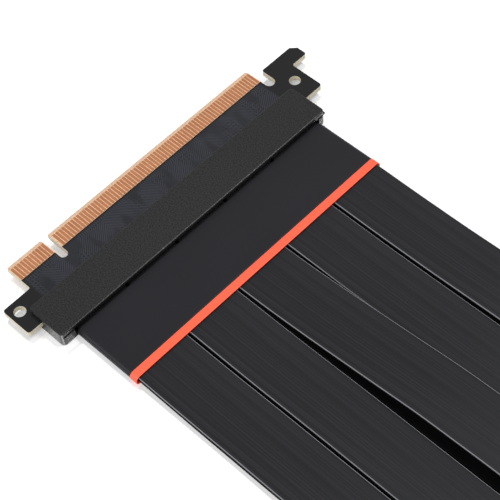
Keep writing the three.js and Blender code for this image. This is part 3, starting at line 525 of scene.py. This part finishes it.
# %% Pull the wraps and stripes
def sleeve(start, stop, lift, proud, soften):
    """A flat tube with rounded sides. Its last few tenths at each end turn in a little."""
    low, high, half = 0.25 + lift - proud, 3.05 + lift + proud, 43.1 + proud
    radius, middle = (high - low) / 2, (high + low) / 2
    bm = bmesh.new()
    bmesh.ops.create_circle(bm, segments=48, radius=radius * MM, cap_ends=False)
    stand = Matrix.Rotation(math.pi / 2, 4, "Y")
    bmesh.ops.transform(bm, matrix=stand, verts=bm.verts)
    for side in (1, -1):
        moved = [v for v in bm.verts if v.co.y * side > 1e-6]
        bmesh.ops.translate(bm, vec=(0, side * (half - radius) * MM, 0), verts=moved)
    halfway = (start + stop) / 2
    along = [
        (start, soften), (start + soften, 0), (start + 2 * soften, 0), (halfway, 0),
        (stop - 2 * soften, 0), (stop - soften, 0), (stop, soften),
    ]
    bmesh.ops.translate(bm, vec=((start - CENTRE) * MM, 0, middle * MM), verts=bm.verts)
    edges, loop, at = list(bm.edges), list(bm.verts), start
    centre_height = Matrix.Translation((0, 0, -middle * MM))
    bmesh.ops.scale(bm, vec=(1, 1, 1 - soften / radius), space=centre_height, verts=loop)
    shrunk = soften
    for place, inward in along[1:]:
        grown = bmesh.ops.extrude_edge_only(bm, edges=edges)["geom"]
        loop = [g for g in grown if isinstance(g, bmesh.types.BMVert)]
        edges = [
            g for g in grown
            if isinstance(g, bmesh.types.BMEdge) and all(v in loop for v in g.verts)
        ]
        bmesh.ops.translate(bm, vec=((place - at) * MM, 0, 0), verts=loop)
        change = (1 - inward / radius) / (1 - shrunk / radius)
        bmesh.ops.scale(bm, vec=(1, 1, change), space=centre_height, verts=loop)
        at, shrunk = place, inward
    bmesh.ops.recalc_face_normals(bm, faces=bm.faces)
    for face in bm.faces:
        face.smooth = True
    return bm


def wrap_finish():
    finish = Finish("satin black sleeve", roughness=0.38, specular=0.17)
    fine = finish.noise(5200, 2.0)
    broad = finish.noise(40, 1.0)
    mottled = fine * 0.5 + broad * 0.5
    finish.set("Base Color", finish.mix(mottled, shade(12, 12, 15), shade(30, 30, 35)))
    finish.set("Roughness", 0.34 + 0.12 * fine)
    finish.bump(fine, 0.006 * MM)
    return finish.material


def stripe_finish():
    finish = Finish("orange ring", roughness=0.45, specular=0.4)
    fine = finish.noise(2400, 2.0)
    finish.set("Base Color", finish.mix(fine, shade(238, 78, 52), shade(255, 96, 66)))
    finish.set("Roughness", 0.4 + 0.1 * fine)
    finish.bump(fine, 0.004 * MM)
    return finish.material


sleeve_black, ring_orange = wrap_finish(), stripe_finish()
ends = {"plug": (PLUG_FACE, 1, 0.0), "socket": (PLUG_FACE + CABLE_LENGTH, -1, SOCKET_LIFT)}
for end, (face_x, way, lift) in ends.items():
    for part, near, far, proud, soften, material, wall in (
        ("sheath", 0.35, 18.7, 0.0, 0.15, sleeve_black, 0.25),
        ("stripe", 18.75, 21.1, 0.1, 0.12, ring_orange, 0.3),
    ):
        start, stop = sorted((face_x + way * near, face_x + way * far))
        skin = sleeve(start, stop, lift, proud, soften)
        piece = new_piece(f"{end}_{part}_skin", skin, material)
        thick = piece.modifiers.new("wall", "SOLIDIFY")
        thick.thickness = wall * MM
        thick.offset = -1.0
        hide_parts(f"{end}_{part}")
print("wraps and stripes for", list(ends))

# %% [markdown]
# ## Metal pieces
# The screws are plated steel and the ground bars are tinned copper. Both are small, so a fine
# brushed noise in the gloss is enough to stop them from looking like plain mirrors.

# %% Finish the metal
def metal_finish(name, dark, light, roughness):
    finish = Finish(name, roughness=roughness, metallic=1.0)
    brushed = finish.noise(1800, 2.0, None, (1, 0.15, 1))
    finish.set("Base Color", finish.mix(brushed, dark, light))
    finish.set("Roughness", roughness + 0.12 * brushed)
    finish.bump(brushed, 0.004 * MM)
    return finish.material


plated = metal_finish("zinc plated steel", shade(150, 150, 152), shade(196, 196, 198), 0.28)
tinned = metal_finish("tinned copper", shade(168, 166, 160), shade(206, 203, 196), 0.34)
for node in ("socket_screw_left", "socket_screw_right"):
    dress(node, plated)
for end in ends:
    for layer in ("upper", "lower"):
        dress(f"{end}_ground_bar_{layer}", tinned)
print("metal finishes:", plated.name, "and", tinned.name)

# %% [markdown]
# ## Table, lamps and backdrop
# The table is a pale gloss sheet that nearly vanishes, with a faint mirror image of the cable. For
# the camera it is a little brighter than for the other rays, so that it reads as white while the
# object keeps its plain light. Two large soft lamps light the object, and the sky fills the rest.

# %% Set the stage
def table_finish():
    finish = Finish("pale gloss table")
    tree = finish.tree
    tree.nodes.remove(finish.shader)
    seen = finish.node("ShaderNodeLightPath", out="Is Camera Ray")
    mirrored = finish.node("ShaderNodeLightPath", out="Is Glossy Ray")
    white = finish.mix(seen + mirrored, (0.8, 0.8, 0.8, 1), (1.35, 1.35, 1.35, 1))
    matt = finish.node("ShaderNodeBsdfDiffuse", {}, {"Color": white})
    glow = finish.node("ShaderNodeEmission", {}, {"Color": finish.mix(seen, (0, 0, 0, 1), (1, 1, 1, 1))})
    pale = finish.node("ShaderNodeMixShader", {}, {0: 0.5, 1: matt, 2: glow})
    gloss = finish.node("ShaderNodeBsdfGlossy", {}, {"Color": (1, 1, 1, 1), "Roughness": 0.04})
    both = finish.node("ShaderNodeMixShader", {}, {0: 0.35, 1: pale, 2: gloss})
    tree.links.new(both.socket, tree.nodes["Material Output"].inputs["Surface"])
    return finish.material


floor_maker = bmesh.new()
bmesh.ops.create_grid(floor_maker, x_segments=1, y_segments=1, size=3.0)
floor_data = bpy.data.meshes.new("table")
floor_maker.to_mesh(floor_data)
floor_maker.free()
table = bpy.data.objects.new("table", floor_data)
floor_data.materials.append(table_finish())
scene.collection.objects.link(table)


def soft_lamp(name, place, size, power, target=(0.0, 0.0, 0.0)):
    data = bpy.data.lights.new(name, "AREA")
    data.shape = "RECTANGLE"
    data.size, data.size_y = size
    data.energy = power
    lamp = bpy.data.objects.new(name, data)
    way = Vector(target) - Vector(place)
    lamp.matrix_world = Matrix.Translation(place) @ way.to_track_quat("-Z", "Y").to_matrix().to_4x4()
    scene.collection.objects.link(lamp)


soft_lamp("overhead lamp", (0.15, -0.5, 0.85), (0.5, 0.5), 5.0, (-0.08, 0, 0))
soft_lamp("edge lamp", (0.11, 0.30, 0.70), (0.22, 0.22), 3.0, (-0.1, 0, 0))
soft_lamp("side lamp", (-0.28, -0.70, 0.33), (0.5, 0.2), 2.0, (-0.03, 0, 0))
world = bpy.data.worlds.new("sky")
world.use_nodes = True
scene.world = world
sky = world.node_tree
light_path = sky.nodes.new("ShaderNodeLightPath")
background = sky.nodes["Background"]
background.inputs["Color"].default_value = (1.0, 1.0, 1.0, 1.0)
seen = light_path.outputs["Is Camera Ray"]
for kind in ("Glossy", "Transmission"):
    either = sky.nodes.new("ShaderNodeMath")
    either.operation = "MAXIMUM"
    sky.links.new(seen, either.inputs[0])
    sky.links.new(light_path.outputs[f"Is {kind} Ray"], either.inputs[1])
    seen = either.outputs[0]
strength = sky.nodes.new("ShaderNodeMapRange")
strength.inputs["To Min"].default_value = 0.5
strength.inputs["To Max"].default_value = 1.0
sky.links.new(seen, strength.inputs["Value"])
sky.links.new(strength.outputs[0], background.inputs["Strength"])
scene.view_settings.view_transform = "Standard"
